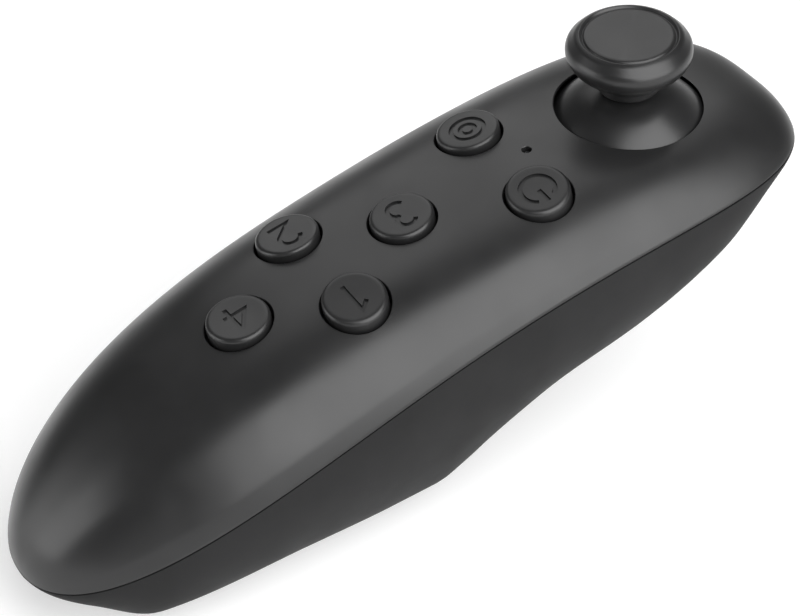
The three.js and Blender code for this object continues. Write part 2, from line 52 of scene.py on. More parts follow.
HALF_LENGTH = 65.0
HALF_WIDTH = 22.2
FIT = 0.999  # keeps the finer hull inside the CAD's box
WIDTH_TAPER = {"tail": (3.5, 0.47), "nose": (6.5, 0.35)}
CROWN_TAPER = {"tail": (2.4, 0.44), "nose": (2.5, 0.44)}
SEAM_NOSE, SEAM_DROP, SEAM_POWER = 38.9, 30.2, 2.3
CROWN, CROWN_SWELL, CROWN_KNEE = 8.25, 0.067, 15.0
TOP_CURVE = (3.2, 0.76)
BELLY_CURVE = (3.1, 0.5)
BELLY = [(-59, 5.3), (-50, 0), (-30, 0.7), (-12, 0), (-4, 0), (0, 1.5), (4.5, 4), (9, 6.2), (17, 9.6),
         (32, 13.8), (46, 21.2), (56, 33.9)]
SOLE_SINK = 0.25
WALL = 2.0
SEAM_GAP = 0.26  # only here: the dark line between the shells
RIM_ROUND = 0.09  # only here
GAP = 0.3

DECK_Z = 42.02
DECK_TILT = math.radians(9.7)
DECK = Matrix.Translation((0, 0, DECK_Z)) @ Matrix.Rotation(DECK_TILT, 4, "X")
HOLE_R = 5.1
CAP_R = 4.75
CAP_PROUD = 1.15  # the CAD's caps stand 0.2 higher
CAP_EDGE = 0.75  # only here: length of the rounding on a cap's rim
FLANGE_R, FLANGE_TOP, FLANGE_THICK = 5.4, -3.2, 0.7
BUTTON_X, CROSS_Y, CROSS_STEP, PAIR_Y, LED_Y = 8.8, -12.9, 14.05, 18.9, 23.1
BUTTONS = {
    "1": (BUTTON_X, CROSS_Y),
    "2": (-BUTTON_X, CROSS_Y),
    "3": (0, CROSS_Y + CROSS_STEP),
    "4": (0, CROSS_Y - CROSS_STEP),
    "home": (-BUTTON_X, PAIR_Y),
    "power": (BUTTON_X, PAIR_Y),
}

STICK_Y, STICK_Z = 41.5, 33.5
STICK_HOLE_R = 11.1
DOME_R, DOME_WALL = 15.2, 1.4
DOME_FROM, DOME_TO = 9, 62

COVER_HALF, COVER_TOP, COVER_FRONT = 12.7, 3.05, -1.0
COVER_CLEAR = 5  # how far the cover's and bay's cutters start under the sole
BAY = {"half": 11.3, "rear": -49.6, "front": -1.3, "roof": 14.3, "wall": 1.0}
CASE_SCREWS = [(9.5, 7.5), (-9.5, 7.5), (0, -54)]
SCREW_HEAD_R, SCREW_HEAD, SCREW_DROP, TOWER_R = 2.2, 1.7, 7.5, 3.2
SHANK_BORE_R = 1.2

TRIGGERS = {"trigger_upper": 53, "trigger_lower": 43}
TRIGGER_W, TRIGGER_L, TRIGGER_PROUD, TRIGGER_FLANGE = 13.0, 7.2, 1.3, 1.8
TRIGGER_CORNER = 1.6
TRIGGER_ROOM = ((-8, -4.9, 1.5), (8, 4.9, 5.2))
TRIGGER_GROOVE_HALF, TRIGGER_GROOVE_PITCH, TRIGGER_GROOVE_WIDTH = 3.6, 1.3, 0.5  # only here

# Only here: how finely the meshes are cut, and a length that reaches past the whole body.
STATIONS = 150
HALF_RING = 30
ROUND = 72
BEYOND = 90


def ends(y, taper):
    power, root = taper["tail"] if y < 0 else taper["nose"]
    return (1 - min(1, abs(y) / HALF_LENGTH) ** power) ** root


def half_width(y):
    return HALF_WIDTH * ends(y, WIDTH_TAPER)


def seam_z(y):
    return SEAM_NOSE - SEAM_DROP * ((HALF_LENGTH - y) / (2 * HALF_LENGTH)) ** SEAM_POWER


def crown_height(y):
    return (CROWN + CROWN_SWELL * (math.hypot(y, CROWN_KNEE) - y)) * ends(y, CROWN_TAPER)


def section(x, curve):
    power, root = curve
    return max(0.0, 1 - abs(x) ** power) ** root


def section_x(height, curve):
    """The place across the section, from 0 to 1, where it has that part of its height."""
    power, root = curve
    return (1 - min(1, height) ** (1 / root)) ** (1 / power)


BELLY_LINE = [(-HALF_LENGTH, seam_z(-HALF_LENGTH)), *BELLY, (HALF_LENGTH, seam_z(HALF_LENGTH))]


def belly_slope(i):
    def rise(k):
        (y0, z0), (y1, z1) = BELLY_LINE[k], BELLY_LINE[k + 1]
        return (z1 - z0) / (y1 - y0)

    if i == 0:
        return rise(0)
    if i == len(BELLY_LINE) - 1:
        return rise(i - 1)
    before, after = rise(i - 1), rise(i)
    return 0 if before * after <= 0 else 2 * before * after / (before + after)


def belly_z(y):
    """Height of the underside on the centre line: a smooth curve through BELLY_LINE."""
    i = 0
    while i < len(BELLY_LINE) - 2 and y > BELLY_LINE[i + 1][0]:
        i += 1
    (y0, z0), (y1, z1) = BELLY_LINE[i], BELLY_LINE[i + 1]
    span = y1 - y0
    t = (y - y0) / span
    start = (1 + 2 * t) * (1 - t) ** 2 * z0 + t * (1 - t) ** 2 * span * belly_slope(i)
    return start + t * t * (3 - 2 * t) * z1 + t * t * (t - 1) * span * belly_slope(i + 1)


def top_z(x, y):
    return seam_z(y) + crown_height(y) * section(x / half_width(y), TOP_CURVE)


def on_deck(x, y):
    """A point of the top surface, in the deck's own frame."""
    return DECK.inverted() @ Vector((x, y, top_z(x, y)))


def deck_surface(u, v):
    """Height of the top surface over the deck's plane, at the deck's (u, v)."""
    w = 0.0
    for _ in range(8):
        point = DECK @ Vector((u, v, w))
        w += (top_z(point.x, point.y) - point.z) / math.cos(DECK_TILT)
    return w


# ---- mesh tools -----------------------------------------------------------------------------


def new_piece(name, points, faces, place=Matrix.Identity(4)):
    mesh = bpy.data.meshes.new(name)
    mesh.from_pydata([(place @ Vector(p)) * MM for p in points], [], faces)
    mesh.validate()
    piece = bpy.data.objects.new(name, mesh)
    bpy.context.scene.collection.objects.link(piece)
    return piece


def stacked(name, rings, tips=(None, None), closed=False, place=Matrix.Identity(4)):
    """Closed mesh through rings of points that run anticlockwise seen from the last ring.
    Each end is a flat cap or a fan to its tip, or with closed the last ring joins the first."""
    count = len(rings[0])
    points = [p for ring in rings for p in ring]
    faces = []
    for r in range(len(rings) if closed else len(rings) - 1):
        for k in range(count):
            low, high = r * count, ((r + 1) % len(rings)) * count
            nxt = (k + 1) % count
            faces.append((low + k, low + nxt, high + nxt, high + k))
    last = (len(rings) - 1) * count
    if not closed:
        for tip, order in ((tips[0], [*range(count)][::-1]), (tips[1], [*range(last, last + count)])):
            if tip is None:
                faces.append(tuple(order))
                continue
            points.append(tip)
            for k in range(count):
                faces.append((order[k], order[(k + 1) % count], len(points) - 1))
    return new_piece(name, points, faces, place)


def circle(radius, z, sides=ROUND, centre=(0, 0)):
    turn = 2 * math.pi / sides
    return [(centre[0] + radius * math.cos(k * turn), centre[1] + radius * math.sin(k * turn), z)
            for k in range(sides)]


def eased(outline, steps=6):
    """A profile with its corners rounded. A point is (r, z) or (r, z, length of the rounding)."""
    smooth = []
    for i, (r, z, *rounding) in enumerate(outline):
        corner = Vector((r, z))
        if not rounding:
            smooth.append(corner)
            continue
        before = Vector(outline[i - 1][:2]) - corner
        after = Vector(outline[(i + 1) % len(outline)][:2]) - corner
        start = corner + before.normalized() * min(rounding[0], before.length * 0.49)
        end = corner + after.normalized() * min(rounding[0], after.length * 0.49)
        for k in range(steps + 1):
            t = k / steps
            smooth.append(start * (1 - t) ** 2 + corner * 2 * t * (1 - t) + end * t * t)
    return [(p.x, p.y) for p in smooth]


def turned(name, profile, sides=ROUND, closed=False, place=Matrix.Identity(4)):
    """Solid of revolution about Z. The profile runs outwards along the underside and up."""
    if closed:
        return stacked(name, [circle(r, z, sides) for r, z in profile], closed=True, place=place)
    inner = [(r, z) for r, z in profile if r > 0]
    tips = ((0, 0, profile[0][1]), (0, 0, profile[-1][1]))
    return stacked(name, [circle(r, z, sides) for r, z in inner], tips, place=place)


def block(low, high, place=Matrix.Identity(4)):
    base = [(low[0], low[1]), (high[0], low[1]), (high[0], high[1]), (low[0], high[1])]
    return stacked("block", [[(x, y, z) for x, y in base] for z in (low[2], high[2])], place=place)


def rod(radius, low, high, centre=(0, 0), sides=ROUND, place=Matrix.Identity(4)):
    return stacked("rod", [circle(radius, z, sides, centre) for z in (low, high)], place=place)


def prism(outline, low, high, place=Matrix.Identity(4)):
    return stacked("prism", [[(x, y, z) for x, y in outline] for z in (low, high)], place=place)


def rounded_rect(width, length, radius, steps=6):
    corners = [(1, 1), (-1, 1), (-1, -1), (1, -1)]
    outline = []
    for quarter, (sx, sy) in enumerate(corners):
        for k in range(steps + 1):
            angle = (quarter + k / steps) * math.pi / 2
            outline.append((sx * (width / 2 - radius) + radius * math.cos(angle),
                            sy * (length / 2 - radius) + radius * math.sin(angle)))
    return outline


def combine(piece, tool, how="DIFFERENCE"):
    """Cuts, joins or intersects a closed piece with a closed tool, and uses the tool up."""
    step = piece.modifiers.new("combine", "BOOLEAN")
    step.operation = how
    step.solver = "MANIFOLD"
    step.object = tool
    evaluated = piece.evaluated_get(bpy.context.evaluated_depsgraph_get())
    result = bpy.data.meshes.new_from_object(evaluated)
    piece.modifiers.clear()
    old = piece.data
    piece.data = result
    bpy.data.meshes.remove(old)
    bpy.data.meshes.remove(tool.data)
    return piece


def smooth(piece, angle=32):
    piece.data.shade_smooth()
    piece.data.set_sharp_from_angle(angle=math.radians(angle))
    weighted = piece.modifiers.new("normals", "WEIGHTED_NORMAL")
    weighted.keep_sharp = True
    weighted.weight = 60


# ---- shells ---------------------------------------------------------------------------------


def even_places(curve, width, height, count):
    """Places across a section, from its rim to its middle, at even steps along its curve."""
    fine = 600
    places = [1 - (k / fine) ** 2 for k in range(fine + 1)]
    points = [Vector((x * width, height * section(x, curve))) for x in places]
    run = [0.0]
    for a, b in zip(points, points[1:]):
        run.append(run[-1] + (b - a).length)
    chosen = []
    k = 0
    for step in range(1, count + 1):
        while run[k] < run[-1] * step / count and k < fine:
            k += 1
        chosen.append(places[k])
    return chosen


RIM_STEPS = (0, 0.02, 0.05, 0.09, 0.15, 0.28, 0.5)
TOP_PLACES = even_places(TOP_CURVE, 21, 8.5, HALF_RING)[2:]
BELLY_PLACES = even_places(BELLY_CURVE, 21, 26, HALF_RING + 8)[1:]


def rim_inset(off_edge):
    """How far the rounded rim of a shell stands back, at a height off its edge."""
    if off_edge >= RIM_ROUND:
        return 0.0
    return RIM_ROUND - math.sqrt(RIM_ROUND ** 2 - (RIM_ROUND - off_edge) ** 2)


def half_section(width, height, curve, places):
    """One shell's section: (x, distance from the seam), from the +X rim to the -X rim."""
    side = []
    shrink = min(1, height / 4)
    for off_edge in RIM_STEPS:
        rise = (SEAM_GAP / 2 + off_edge) * shrink
        side.append((width * section_x(rise / height, curve) - rim_inset(off_edge) * shrink, rise))
    side += [(width * x, height * section(x, curve)) for x in places]
    return side + [(-x, rise) for x, rise in side[-2::-1]]


def shell_solid(name, upper):
    """The upper or lower half of the body's form, closed across the seam."""
    curve, places = (TOP_CURVE, TOP_PLACES) if upper else (BELLY_CURVE, BELLY_PLACES)
    way = 1 if upper else -1
    rings = []
    for s in range(1, STATIONS):
        y = HALF_LENGTH * math.cos(math.pi * s / STATIONS)
        height = crown_height(y) if upper else seam_z(y) - belly_z(y) + SOLE_SINK
        profile = half_section(half_width(y), height, curve, places)
        rings.append([(way * x * FIT, y * FIT, seam_z(y) + way * rise) for x, rise in profile])
    tips = [(0, way_y * HALF_LENGTH * FIT, seam_z(way_y * HALF_LENGTH) + way * 0.01) for way_y in (1, -1)]
    return stacked(name, rings, tips)


def hollow(upper):
    """The space inside a shell, reaching a little past the seam."""
    curve, places = (TOP_CURVE, TOP_PLACES) if upper else (BELLY_CURVE, BELLY_PLACES)
    way = 1 if upper else -1
    less = lambda value: value * (1 - WALL / max(value, 2 * WALL))
    rings = []
    for s in range(1, STATIONS // 3):
        y = HALF_LENGTH * math.cos(math.pi * s / (STATIONS // 3))
        width = less(half_width(y))
        height = less(crown_height(y) if upper else seam_z(y) - belly_z(y) + SOLE_SINK)
        side = [(width, -1.5)] + [(width * x, height * section(x, curve)) for x in places[::2]]
        profile = side + [(-x, rise) for x, rise in side[::-1]]
        shift = (HALF_LENGTH - WALL) / HALF_LENGTH
        rings.append([(way * x, y * shift, seam_z(y) + way * rise) for x, rise in profile])
    return stacked("hollow", rings)


def lip_rings(radius, flare, surface, base):
    """Rings of a round cutter whose mouth flares out to meet a curved surface."""
    profile = [(radius, -flare)]
    for degrees in (22, 44, 62):
        angle = math.radians(degrees)
        profile.append((radius + flare * (1 - math.cos(angle)), flare * (math.sin(angle) - 1)))
    profile.append((radius + flare * 1.25, flare * 0.6))
    rings = [circle(radius, base)]
    for r, rise in profile:
        rings.append([(x, y, surface(x, y) + rise) for x, y, _ in circle(r, 0)])
    top = max(z for _, _, z in rings[-1]) + 5
    rings.append(circle(radius + flare * 1.25, top))
    return rings


def stick_bowl():
    """The bowl that the stick's dome turns in."""
    radius, low = DOME_R + 0.5, 3.2
    profile = [(0, low), (math.sqrt(radius ** 2 - low ** 2), low)]
    first = math.asin(low / radius)
    for k in range(1, 24):
        angle = first + (math.pi / 2 - first) * k / 24
        profile.append((radius * math.cos(angle), radius * math.sin(angle)))
    profile.append((0, radius))
    return turned("bowl", profile, place=Matrix.Translation((0, STICK_Y, STICK_Z)))


def trigger_place(y):
    slope = math.atan(belly_z(y + 1) / 2 - belly_z(y - 1) / 2)
    return Matrix.Translation((0, y, belly_z(y))) @ Matrix.Rotation(slope, 4, "X")


def make_top_shell():
    shell = shell_solid("top_shell_skin", True)
    combine(shell, hollow(True))
    for x, y in BUTTONS.values():
        at = on_deck(x, y)
        surface = lambda u, v: deck_surface(at.x + u, at.y + v)
        rings = lip_rings(HOLE_R, 0.22, surface, at.z - 6)
        combine(shell, stacked("hole", rings, place=DECK @ Matrix.Translation((at.x, at.y, 0))))
        room = rod(FLANGE_R + GAP, at.z - 8, at.z + FLANGE_TOP + 0.9, (at.x, at.y), place=DECK)
        combine(shell, room)
    led = on_deck(0, LED_Y)
    surface = lambda u, v: deck_surface(u, led.y + v)
    rings = lip_rings(0.72, 0.12, surface, led.z - 5)
    combine(shell, stacked("pinhole", rings, place=DECK @ Matrix.Translation((0, led.y, 0))))
    surface = lambda x, y: top_z(x, STICK_Y + y)
    rings = lip_rings(STICK_HOLE_R - 0.1, 0.25, surface, STICK_Z + 6)
    combine(shell, stacked("stick_hole", rings, place=Matrix.Translation((0, STICK_Y, 0))))
    combine(shell, stick_bowl())
    smooth(shell)
    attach(shell, "case")
    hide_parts("top_shell")
    return shell


def screw_bores(shell):
    for x, y in CASE_SCREWS:
        seat = seam_z(y) - SCREW_DROP + SCREW_HEAD + GAP
        combine(shell, rod(SCREW_HEAD_R + GAP, -5, seat, (x, y)))
        combine(shell, rod(SHANK_BORE_R, -5, 60, (x, y), 24))


def below_sole():
    return block((-60, -BEYOND, -20), (60, BEYOND, 0))


def cover_space(clearance):
    """The part of the belly that belongs to the battery cover, grown by a clearance."""
    half = COVER_HALF + clearance
    return block((-half, -BEYOND, -COVER_CLEAR), (half, COVER_FRONT + clearance, COVER_TOP + clearance))


def make_bottom_shell():
    shell = shell_solid("bottom_shell_skin", False)
    form = shell.copy()
    form.data = shell.data.copy()
    bpy.context.scene.collection.objects.link(form)
    combine(shell, hollow(False))
    inside = block((-BAY["half"] - BAY["wall"], BAY["rear"] - BAY["wall"], 0),
                   (BAY["half"] + BAY["wall"], BAY["front"] + BAY["wall"], BAY["roof"] + BAY["wall"]))
    for x, y in CASE_SCREWS:
        combine(inside, rod(TOWER_R, -5, seam_z(y) - 0.6, (x, y), 32), "UNION")
    combine(inside, form, "INTERSECT")
    combine(shell, inside, "UNION")
    combine(shell, below_sole())
    combine(shell, cover_space(GAP))
    combine(shell, block((-BAY["half"], BAY["rear"], -COVER_CLEAR), (BAY["half"], BAY["front"], BAY["roof"])))
    screw_bores(shell)
    for y in TRIGGERS.values():
        mouth = rounded_rect(TRIGGER_W + 2 * GAP, TRIGGER_L + 2 * GAP, 1.8)
        combine(shell, prism(mouth, -4, 5, trigger_place(y)))
        combine(shell, block(*TRIGGER_ROOM, trigger_place(y)))
    combine(shell, stick_bowl())
    smooth(shell)
    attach(shell, "case")
    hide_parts("bottom_shell")
    return shell


def arc(centre, radius, start, end, steps=14):
    """Points along an arc, with its angles in degrees."""
    angles = [math.radians(start + (end - start) * k / steps) for k in range(steps + 1)]
    return [(centre[0] + radius * math.cos(a), centre[1] + radius * math.sin(a)) for a in angles]


def stroke(points, width):
    """The outline of a line of that width through the points."""
    left, right = [], []
    points = [Vector(p) for p in points]
    for i, point in enumerate(points):
        before = (point - points[max(i - 1, 0)]).normalized()
        after = (points[min(i + 1, len(points) - 1)] - point).normalized()
        along = (before + after).normalized()
        across = Vector((-along.y, along.x)) * width / 2 / max(0.5, along.dot(after if i == 0 else before))
        left.append(point + across)
        right.append(point - across)
    return right + left[::-1]


# The cover's grip grooves and arrow, only here.
GRIP_RIDGES = 6
GRIP_PITCH = 1.9
GRIP_WIDTH = 0.9
GRIP_DEPTH = 0.5
GRIP_FRONT = 8
GRIP_BEND = 20
ARROW_TIP = 26.5
ARROW_LENGTH = 4.7
ARROW_HALF = 3.2
ARROW_DEPTH = 0.4


def make_cover():
    cover = shell_solid("battery_cover_skin", False)
    combine(cover, below_sole())
    combine(cover, cover_space(0), "INTERSECT")
    for k in range(GRIP_RIDGES):
        crest = -GRIP_FRONT - k * GRIP_PITCH
        groove = stroke(arc((0, crest - GRIP_BEND), GRIP_BEND, 66, 114, 20), GRIP_WIDTH)
        combine(cover, prism(groove, -1, belly_z(crest) + GRIP_DEPTH))
    tip, tail = -ARROW_TIP, ARROW_LENGTH - ARROW_TIP
    arrow = [(0, tip), (ARROW_HALF, tail), (-ARROW_HALF, tail)]
    combine(cover, prism(arrow, -1, belly_z(tip) + ARROW_DEPTH))
    smooth(cover)
    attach(cover, "battery_cover")
    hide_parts("battery_cover")
    return cover


# ---- buttons --------------------------------------------------------------------------------

# The sunk symbols, only here.
STROKE = 0.7
GLYPH_DEPTH = 0.3
GLYPH_SCALE = 1.2
GLYPHS = {
    "1": [[(-1.0, 1.15), (0.25, 2.15), (0.25, -2.15)]],
    "2": [arc((0, 0.85), 1.3, 165, -38) + [(-1.25, -2.0), (1.45, -2.0)]],
    "3": [arc((-0.1, 1.05), 1.1, 150, -75), arc((-0.1, -0.98), 1.22, 75, -150)],
    "4": [[(0.55, -2.15), (0.55, 2.15)], [(0.5, 2.1), (-1.5, -0.75), (1.45, -0.75)]],
    "home": [],
    "power": [arc((0, 0), 2.1, 122, 418, 30), [(0, 0.2), (0, 2.35)]],
}
HOME_RINGS = [(2.1, 2.1 + STROKE), (0.75, 0.75 + STROKE)]


def make_button(name, x, y):
    at = on_deck(x, y)
    lean = on_deck(x + 0.5, y).z - on_deck(x - 0.5, y).z
    leaning = Matrix.Identity(4)
    leaning[2][0] = lean
    place = DECK @ Matrix.Translation(at) @ leaning
    flange_low = FLANGE_TOP - FLANGE_THICK
    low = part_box(f"plunger_{name}")[1]
    stem_end = (DECK.inverted() @ (low / MM)).z - at.z
    profile = eased([
        (0, stem_end + 0.9), (1.6, stem_end + 0.9), (1.6, flange_low), (FLANGE_R, flange_low, 0.2),
        (FLANGE_R, FLANGE_TOP, 0.2), (CAP_R, FLANGE_TOP), (CAP_R, CAP_PROUD, CAP_EDGE),
        (CAP_R - 1.6, CAP_PROUD - 0.03, 0.6), (0, CAP_PROUD - 0.08),
    ])
    button = turned(f"cap_{name}", profile, place=place)
    floor = CAP_PROUD - 0.06 - GLYPH_DEPTH
    upright = Matrix.Rotation(-math.pi / 2, 4, "Z")
    for line in GLYPHS[name]:
        scaled = [Vector(p) * GLYPH_SCALE for p in line]
        combine(button, prism(stroke(scaled, STROKE), floor, 3, place @ upright))
    if name == "home":
        for inner, outer in HOME_RINGS:
            profile = [(inner, floor), (outer, floor), (outer, 3), (inner, 3)]
            combine(button, turned("ring", profile, 48, True, place))
    smooth(button)
    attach(button, f"button_{name}")
    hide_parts(f"button_{name}")
    return button


# ---- thumbstick -----------------------------------------------------------------------------

PIVOT = Matrix.Translation((0, STICK_Y, STICK_Z))


def make_stick_cap():
    profile = eased([
        (0, 21.2), (1.9, 21.2), (1.9, 15.45), (4.3, 14.95, 0.3), (4.75, 15.3, 0.3), (4.75, 16.5, 0.6),
        (5.8, 17.5, 0.7), (7.6, 18.6, 1.1), (9.1, 20.2, 1.0), (9.43, 21.6, 0.5), (9.2, 22.6, 0.5),
        (7.95, 23.85, 0.3), (7.3, 24.15, 0.15), (7.05, 23.85, 0.12), (6.85, 23.75, 0.1), (6.65, 24.0, 0.12),
        (6.3, 24.1, 0.2), (0, 23.95),
    ])
    cap = turned("stick_cap", profile, 96, place=PIVOT)
    smooth(cap, 50)
    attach(cap, "joystick_stick")
    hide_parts("joystick_cap")
    return cap


def make_stick_dome():
    profile = []
    for radius, first, last in ((DOME_R - DOME_WALL, DOME_FROM, DOME_TO), (DOME_R, DOME_TO, DOME_FROM)):
        for k in range(31):
            angle = math.radians(first + (last - first) * k / 30)
            profile.append((radius * math.sin(angle), radius * math.cos(angle)))
    dome = turned("stick_dome", profile, 96, True, PIVOT)
    smooth(dome)
    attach(dome, "joystick_stick")
    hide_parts("joystick_dome")
    return dome


# ---- triggers -------------------------------------------------------------------------------


def make_trigger(name, y):
    crown = [(2.8, 0.0), (1.6, 0.05), (0.9, 0.12), (0.5, 0.25), (0.2, 0.5), (0.05, 0.75), (0, 1.0)]
    rings = []
    for inset, rise in crown:
        corner = max(0.6, TRIGGER_CORNER - inset * 0.5)
        outline = rounded_rect(TRIGGER_W - 2 * inset, TRIGGER_L - 2 * inset, corner)
        rings.append([(px, py, rise - TRIGGER_PROUD) for px, py in outline])
    side = rounded_rect(TRIGGER_W, TRIGGER_L, TRIGGER_CORNER)
    flange = rounded_rect(TRIGGER_W + 1.8, TRIGGER_L + 1.6, 2)
    rings.append([(px, py, TRIGGER_FLANGE) for px, py in side])
    rings.append([(px, py, TRIGGER_FLANGE) for px, py in flange])
    rings.append([(px, py, TRIGGER_FLANGE + 0.6) for px, py in flange])
    trigger = stacked(f"{name}_cap", rings, place=trigger_place(y))
    for k in (-1, 0, 1):
        across = k * TRIGGER_GROOVE_PITCH
        line = [(-TRIGGER_GROOVE_HALF, across), (TRIGGER_GROOVE_HALF, across)]
        groove = stroke(line, TRIGGER_GROOVE_WIDTH)
        combine(trigger, prism(groove, -3, 0.3 - TRIGGER_PROUD, trigger_place(y)))
    smooth(trigger)
    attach(trigger, name)
    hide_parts(name)
    return trigger


# ---- materials ------------------------------------------------------------------------------


class Look:
    """A material under construction: its nodes read the object's own coordinates."""

    def __init__(self, name):
        self.material = bpy.data.materials.new(name)
        self.material.use_nodes = True
        self.nodes = self.material.node_tree.nodes
        self.shader = self.nodes["Principled BSDF"]
        self.place = self.nodes.new("ShaderNodeTexCoord").outputs["Object"]

    def link(self, output, target):
        self.material.node_tree.links.new(output, target)

    def noise(self, per_mm, detail=3.0, stretch=None):
        texture = self.nodes.new("ShaderNodeTexNoise")
        texture.inputs["Scale"].default_value = per_mm / MM
        texture.inputs["Detail"].default_value = detail
        source = self.place
        if stretch:
            mapping = self.nodes.new("ShaderNodeMapping")
            mapping.inputs["Scale"].default_value = stretch
            self.link(source, mapping.inputs["Vector"])
            source = mapping.outputs["Vector"]
        self.link(source, texture.inputs["Vector"])
        return texture.outputs["Fac"]

    def between(self, source, low, high, start=0.3, end=0.7):
        remap = self.nodes.new("ShaderNodeMapRange")
        remap.inputs["From Min"].default_value = start
        remap.inputs["From Max"].default_value = end
        remap.inputs["To Min"].default_value = low
        remap.inputs["To Max"].default_value = high
        self.link(source, remap.inputs["Value"])
        return remap.outputs["Result"]

    def blend(self, amount, dark, light):
        mix = self.nodes.new("ShaderNodeMix")
        mix.data_type = "RGBA"
        self.link(amount, mix.inputs["Factor"])
        for socket, colour in ((mix.inputs["A"], dark), (mix.inputs["B"], light)):
            if isinstance(colour, tuple):
                socket.default_value = (*colour, 1)
            else:
                self.link(colour, socket)
        return mix.outputs["Result"]

    def bump(self, *layers):
        """Each layer is (noise output, height in mm)."""
        normal = None
        for source, height in layers:
            bump = self.nodes.new("ShaderNodeBump")
            bump.inputs["Strength"].default_value = 1.0
            bump.inputs["Distance"].default_value = height * MM
            self.link(source, bump.inputs["Height"])
            if normal:
                self.link(normal, bump.inputs["Normal"])
            normal = bump.outputs["Normal"]
        self.link(normal, self.shader.inputs["Normal"])

    def edges(self, start=0.53, end=0.62):
        """Near 1 on sharp outer edges, where handling wears the plastic."""
        geometry = self.nodes.new("ShaderNodeNewGeometry")
        return self.between(geometry.outputs["Pointiness"], 0.0, 1.0, start, end)


def moulded(name, colour, roughness, grain, grain_height, specular=0.5, spread=0.05, wear=0.35):
    """Moulded plastic: uneven tone and roughness, a fine grain, and edges worn a little lighter."""
    look = Look(name)
    dark = tuple(c * 0.86 for c in colour)
    light = tuple(c * 1.16 for c in colour)
    tone = look.blend(look.between(look.noise(0.045, 4), 0, 1), dark, light)
    specks = look.between(look.noise(2.6, 2), 0, 0.55, 0.68, 0.8)
    tone = look.blend(specks, tone, tuple(c * 1.7 for c in colour))
    worn = look.between(look.edges(), 0, wear, 0, 1)
    look.link(look.blend(worn, tone, tuple(c * 1.9 for c in colour)), look.shader.inputs["Base Color"])
    patches = look.between(look.noise(0.11, 5), roughness - spread, roughness + spread)
    look.link(patches, look.shader.inputs["Roughness"])
    look.shader.inputs["Specular IOR Level"].default_value = specular
    look.bump((look.noise(grain, 2), grain_height), (look.noise(0.25, 2), 0.004))
    return look.material


def metal(name, colour, roughness, stretch=(1, 1, 1)):
    look = Look(name)
    dark = tuple(c * 0.8 for c in colour)
    tone = look.blend(look.between(look.noise(0.5, 4), 0, 1), dark, colour)
    look.link(tone, look.shader.inputs["Base Color"])
    brushed = look.noise(4.0, 3, stretch)
    look.link(look.between(brushed, roughness - 0.08, roughness + 0.12), look.shader.inputs["Roughness"])
    look.shader.inputs["Metallic"].default_value = 1.0
    look.bump((brushed, 0.006))
    return look.material


def board_look():
    look = Look("solder_mask_green")
    tracks = look.nodes.new("ShaderNodeTexBrick")
    tracks.inputs["Scale"].default_value = 0.35 / MM
    tracks.inputs["Mortar Size"].default_value = 0.05
    look.link(look.place, tracks.inputs["Vector"])
    tone = look.blend(look.between(look.noise(0.3, 4), 0, 1), (0.012, 0.085, 0.032), (0.018, 0.12, 0.05))
    copper = look.between(tracks.outputs["Fac"], 0, 0.6, 0, 1)
    look.link(look.blend(copper, tone, (0.03, 0.2, 0.08)), look.shader.inputs["Base Color"])
    look.link(look.between(look.noise(0.8, 3), 0.3, 0.45), look.shader.inputs["Roughness"])
    look.bump((tracks.outputs["Fac"], 0.03), (look.noise(3, 2), 0.004))
    return look.material


def clear_look():
    """Clear plastic with a dark tint, so that the indicator's pinhole reads dark from outside."""
    look = Look("clear_acrylic")
    look.shader.inputs["Transmission Weight"].default_value = 0.85
    look.shader.inputs["IOR"].default_value = 1.49
    tone = look.blend(look.noise(0.8, 3), (0.16, 0.17, 0.18), (0.24, 0.25, 0.26))
    look.link(tone, look.shader.inputs["Base Color"])
    look.link(look.between(look.noise(2, 3), 0.08, 0.2), look.shader.inputs["Roughness"])
    look.bump((look.noise(2.5, 2), 0.003))
    return look.material


SHELL_BLACK = (0.013, 0.013, 0.0133)
MATTE_BLACK = (0.015, 0.015, 0.0153)

LOOKS = {
    "satin_shell": moulded("satin_black_shell", SHELL_BLACK, 0.33, 7, 0.0022),
    "matte_shell": moulded("matt_black_shell", MATTE_BLACK, 0.6, 5, 0.010, 0.13),
    "button_plastic": moulded("satin_black_button", SHELL_BLACK, 0.34, 6, 0.004),
    "stick_plastic": moulded("soft_black_stick", SHELL_BLACK, 0.32, 6, 0.004),
    "module_metal": metal("stamped_steel", (0.42, 0.43, 0.44), 0.42, (1, 1, 6)),
    "switch_plastic": moulded("black_nylon", (0.018, 0.018, 0.018), 0.55, 4, 0.01),
    "circuit_board": board_look(),
    "chip_plastic": moulded("epoxy_package", (0.014, 0.014, 0.015), 0.6, 6, 0.008),
    "steel": metal("zinc_plate", (0.62, 0.62, 0.61), 0.3, (1, 6, 1)),
    "cell_wrap": moulded("blue_cell_sleeve", (0.06, 0.16, 0.38), 0.32, 3, 0.006, 0.6),
    "flat_cable": moulded("flat_cable_jacket", (0.62, 0.62, 0.6), 0.55, 3, 0.01),
    "clear_plastic": clear_look(),
}

